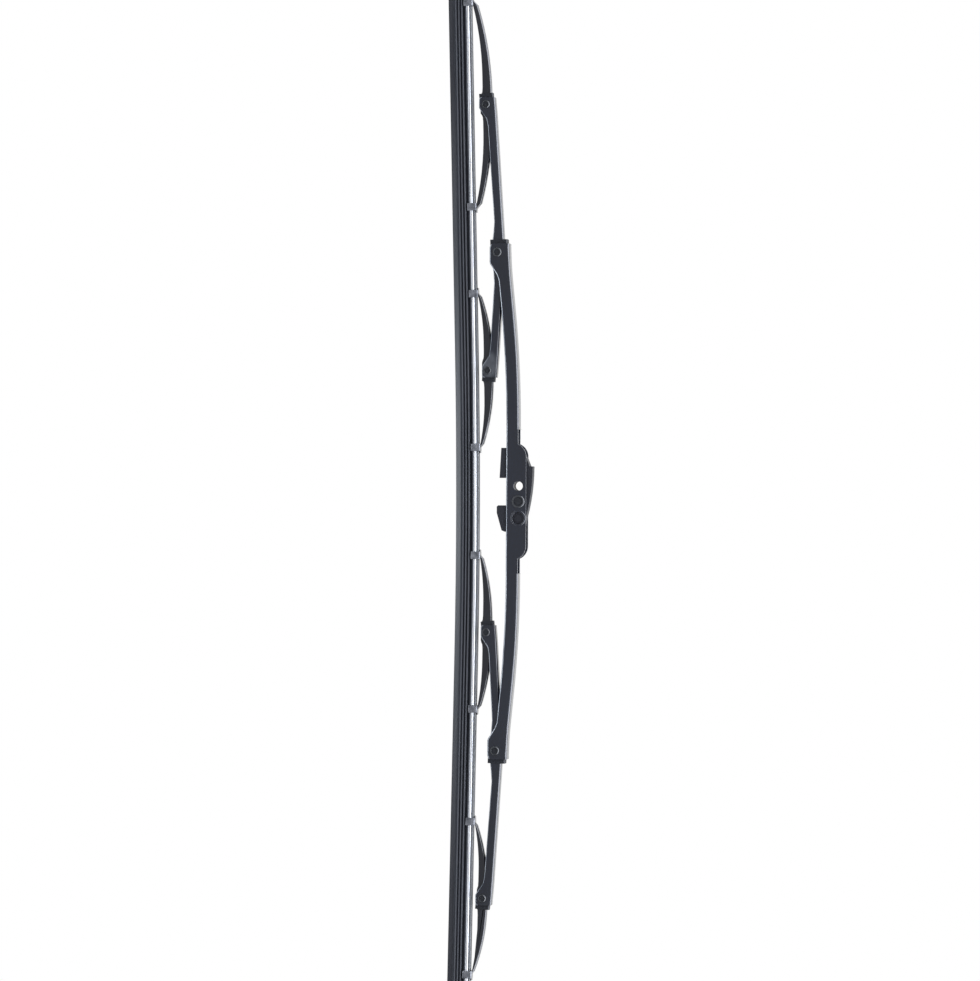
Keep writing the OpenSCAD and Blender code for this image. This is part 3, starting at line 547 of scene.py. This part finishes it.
def thinCopy(node, finishes, prepare, edge):
    # the strip again, a little thinner all round, for the laps
    core = copyNode(node, node + ".core", stripLook["flatAngle"])
    for finish in finishes:
        core.data.materials.append(finish)
    if prepare:
        prepare(core)
    openMesh(core, "VERT")
    bpy.ops.mesh.select_all(action="SELECT")
    inset = max(lapLook["inset"], edge * lapLook["edgeShare"])
    bpy.ops.transform.shrink_fatten(value=-inset, use_even_offset=True)
    closeMesh()
    return core


def fixStretch(piece, stretch):
    # one stretch of the strip, smooth-shaded and fixed to its body; a stretch between two bodies is only baked where it
    # lies
    start, end, body, second, startShare, endShare = stretch[1:]
    smoothShade(piece, stripLook["smoothAngle"])
    if second:
        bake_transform(piece)
    else:
        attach(piece, body)


def layStrip(node, finishes, edge, prepare=None, edgeSlot=-1):
    # the strip in its stretches, with the laps that belong to each
    whole = copyNode(node, node + ".whole", stripLook["flatAngle"])
    for finish in finishes:
        whole.data.materials.append(finish)
    roundEdges(whole, edge, angle=stripLook["bevelAngle"], slot=edgeSlot)
    if prepare:
        prepare(whole)
    core = thinCopy(node, finishes, prepare, edge)
    for stretch in stripCuts:
        name, start, end, body, second = stretch[:5]
        step = stripLook["bendStep"] if second else 0
        pieces = [cutFrom(whole, node + "." + name, min(start, end), max(start, end), step)]
        for count, (seam, reach) in enumerate(lapsOf.get(name, []), 1):
            pieces.append(cutFrom(core, node + "." + name + "Lap" + str(count), seam - reach, seam + reach,
                                  reach * lapLook["step"]))
        for piece in pieces:
            fixStretch(piece, stretch)
            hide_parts(node)
    bpy.data.objects.remove(whole)
    bpy.data.objects.remove(core)


lipLine = {"crownX": 0.014, "drop": 0.0374, "radius": 4.55, "half": 0.092}
rubberLook = {"edge": 0.00008, "lipTop": 0.00285, "neckHalf": 0.0012, "baseLow": 0.0100, "slotTop": 0.0115}
splineLook = {"edge": 0.0004}


def heightOverLip(point):
    # the lip's lower edge follows a shallow arc, and runs on straight past the arc's ends
    x = max(-lipLine["half"], min(lipLine["half"], point.x))
    slope = math.asin((x - lipLine["crownX"]) / lipLine["radius"])
    return (point.z + lipLine["drop"] + lipLine["radius"] * (1 - math.cos(slope))
            + (point.x - x) * math.tan(slope))


def dressRubber(rubber):
    # each height of the section gets its finish: 0 ribs and base, 1 lip, 2 grooves in painted shade, 3 head with its
    # painted sheen
    mesh = rubber.data
    for face in mesh.polygons:
        height = sum(heightOverLip(mesh.vertices[i].co) for i in face.vertices) / len(face.vertices)
        if height < rubberLook["lipTop"]:
            face.material_index = 1
        elif height < rubberLook["baseLow"]:
            face.material_index = 2 if abs(face.center.y) < rubberLook["neckHalf"] else 0
        elif height > rubberLook["slotTop"]:
            face.material_index = 3


layStrip("rubber_element", [ribRubber, lipRubber, grooveRubber, headRubber], rubberLook["edge"], dressRubber)
for node in ("spline_front", "spline_back"):
    layStrip(node, [splineSteel, splineShade], splineLook["edge"], edgeSlot=1)
print("rubber and splines laid in", len(stripCuts), "stretches")


studio = {"floorDrop": 0.55, "floorSize": (8.0, 8.0), "floorCuts": 4, "floorFade": (0.30, 1.05),
          "fadeShape": (0.8, 1, 0), "worldLevel": 0.8, "worldColour": (0.97, 0.98, 1.0, 1), "lampsAim": (0, 0, -0.025),
          "key": {"at": (0, -0.5, 1.1), "size": (1.2, 1.2), "power": 5.0, "glossOnly": False, "colour": (1, 1, 1)},
          "lipLight": {"at": (0.02, -0.22, -0.26), "size": (0.16, 0.16), "power": 0.15, "glossOnly": False,
                       "colour": (1, 1, 1)},
          "bendStrip": {"at": (0, -0.185, 0.57), "size": (2.4, 0.9), "power": 100.0, "glossOnly": True,
                        "colour": (0.90, 0.93, 1.0)},
          "rimStrip": {"at": (0, -0.185, -0.57), "size": (2.4, 0.9), "power": 40.0, "glossOnly": True,
                       "colour": (0.92, 0.95, 1.0)}}

bpy.ops.object.select_all(action="DESELECT")
bpy.ops.mesh.primitive_plane_add(size=1, location=(0, 0, -studio["floorDrop"]))
floor = bpy.context.object
floor.name = "studioFloor"
floor.scale = (*studio["floorSize"], 1)
bpy.ops.object.transform_apply(location=True, rotation=True, scale=True)
openMesh(floor)
bpy.ops.mesh.select_all(action="SELECT")
bpy.ops.mesh.subdivide(number_cuts=studio["floorCuts"])
closeMesh()
paleFloor = newFinish("paleFloor", (0.86, 0.86, 0.86), 0.8, specular=0.2)
addColourRange(paleFloor, addNoise(paleFloor, 6), [(0.3, (0.84, 0.84, 0.84)), (0.7, (0.88, 0.88, 0.88))])
floor.data.materials.append(paleFloor)

# to the eye the floor fades into the white background, away from the blade's shadow
nodes, links = paleFloor.node_tree.nodes, paleFloor.node_tree.links
place = nodes.new("ShaderNodeTexCoord")
narrowed = nodes.new("ShaderNodeMapping")
narrowed.inputs["Scale"].default_value = studio["fadeShape"]
away = nodes.new("ShaderNodeVectorMath")
away.operation = "LENGTH"
fade = nodes.new("ShaderNodeMapRange")
fade.interpolation_type = "SMOOTHSTEP"
fade.inputs["From Min"].default_value, fade.inputs["From Max"].default_value = studio["floorFade"]
floorRays = nodes.new("ShaderNodeLightPath")
toEye = nodes.new("ShaderNodeMath")
toEye.operation = "MULTIPLY"
glow = nodes.new("ShaderNodeEmission")
blend = nodes.new("ShaderNodeMixShader")
links.new(place.outputs["Object"], narrowed.inputs["Vector"])
links.new(narrowed.outputs["Vector"], away.inputs[0])
links.new(away.outputs["Value"], fade.inputs["Value"])
links.new(fade.outputs["Result"], toEye.inputs[0])
links.new(floorRays.outputs["Is Camera Ray"], toEye.inputs[1])
links.new(toEye.outputs[0], blend.inputs["Fac"])
links.new(nodes["Principled BSDF"].outputs["BSDF"], blend.inputs[1])
links.new(glow.outputs["Emission"], blend.inputs[2])
links.new(blend.outputs["Shader"], nodes["Material Output"].inputs["Surface"])

world = bpy.data.worlds.new("lightTent")
bpy.context.scene.world = world
world.use_nodes = True
nodes, links = world.node_tree.nodes, world.node_tree.links
nodes.clear()
rays = nodes.new("ShaderNodeLightPath")
seen = nodes.new("ShaderNodeMath")
seen.operation = "MAXIMUM"
seenToo = nodes.new("ShaderNodeMath")
seenToo.operation = "MAXIMUM"
plain = nodes.new("ShaderNodeBackground")
plain.inputs["Color"].default_value = studio["worldColour"]
plain.inputs["Strength"].default_value = studio["worldLevel"]
white = nodes.new("ShaderNodeBackground")
white.inputs["Color"].default_value = (1, 1, 1, 1)
white.inputs["Strength"].default_value = 1.0
mix = nodes.new("ShaderNodeMixShader")
out = nodes.new("ShaderNodeOutputWorld")
links.new(rays.outputs["Is Camera Ray"], seen.inputs[0])
links.new(rays.outputs["Is Glossy Ray"], seen.inputs[1])
links.new(seen.outputs[0], seenToo.inputs[0])
links.new(rays.outputs["Is Transmission Ray"], seenToo.inputs[1])
links.new(seenToo.outputs[0], mix.inputs["Fac"])
links.new(plain.outputs[0], mix.inputs[1])
links.new(white.outputs[0], mix.inputs[2])
links.new(mix.outputs[0], out.inputs["Surface"])

for name in ("key", "lipLight", "bendStrip", "rimStrip"):
    lamp = bpy.data.lights.new(name, "AREA")
    lamp.shape = "RECTANGLE"
    lamp.size, lamp.size_y = studio[name]["size"]
    lamp.energy = studio[name]["power"]
    lamp.color = studio[name]["colour"]
    holder = bpy.data.objects.new(name, lamp)
    holder.location = studio[name]["at"]
    holder.rotation_euler = (Vector(studio["lampsAim"]) - holder.location).to_track_quat("-Z", "Y").to_euler()
    holder.visible_diffuse = not studio[name]["glossOnly"]
    sheetOfBlade.objects.link(holder)

view = {"tilt": math.radians(7.0), "roll": math.radians(0.28), "pixelsPerMetre": 1700.0,
        "originAt": (519.3, 501.5), "frame": (980, 981), "distance": 4.0, "sensorWidth": 36, "clipEnd": 30}
across = Vector((0, math.sin(view["tilt"]), math.cos(view["tilt"])))
upward = Vector((-1, 0, 0))
right = across * math.cos(view["roll"]) + upward * math.sin(view["roll"])
up = upward * math.cos(view["roll"]) - across * math.sin(view["roll"])
back = right.cross(up)
centre = (right * (view["frame"][0] / 2 - view["originAt"][0])
          - up * (view["frame"][1] / 2 - view["originAt"][1])) / view["pixelsPerMetre"]
eye = centre + back * view["distance"]
lens = bpy.data.cameras.new("longLens")
lens.sensor_width = view["sensorWidth"]
lens.lens = view["sensorWidth"] * view["distance"] / (view["frame"][1] / view["pixelsPerMetre"])
lens.clip_end = view["clipEnd"]
camera = bpy.data.objects.new("longLens", lens)
camera.matrix_world = Matrix(((right.x, up.x, back.x, eye.x), (right.y, up.y, back.y, eye.y),
                              (right.z, up.z, back.z, eye.z), (0, 0, 0, 1)))
sheetOfBlade.objects.link(camera)
bpy.context.scene.camera = camera
bpy.context.scene.view_settings.view_transform = "Standard"
print("studio set")

bpy.context.view_layer.update()
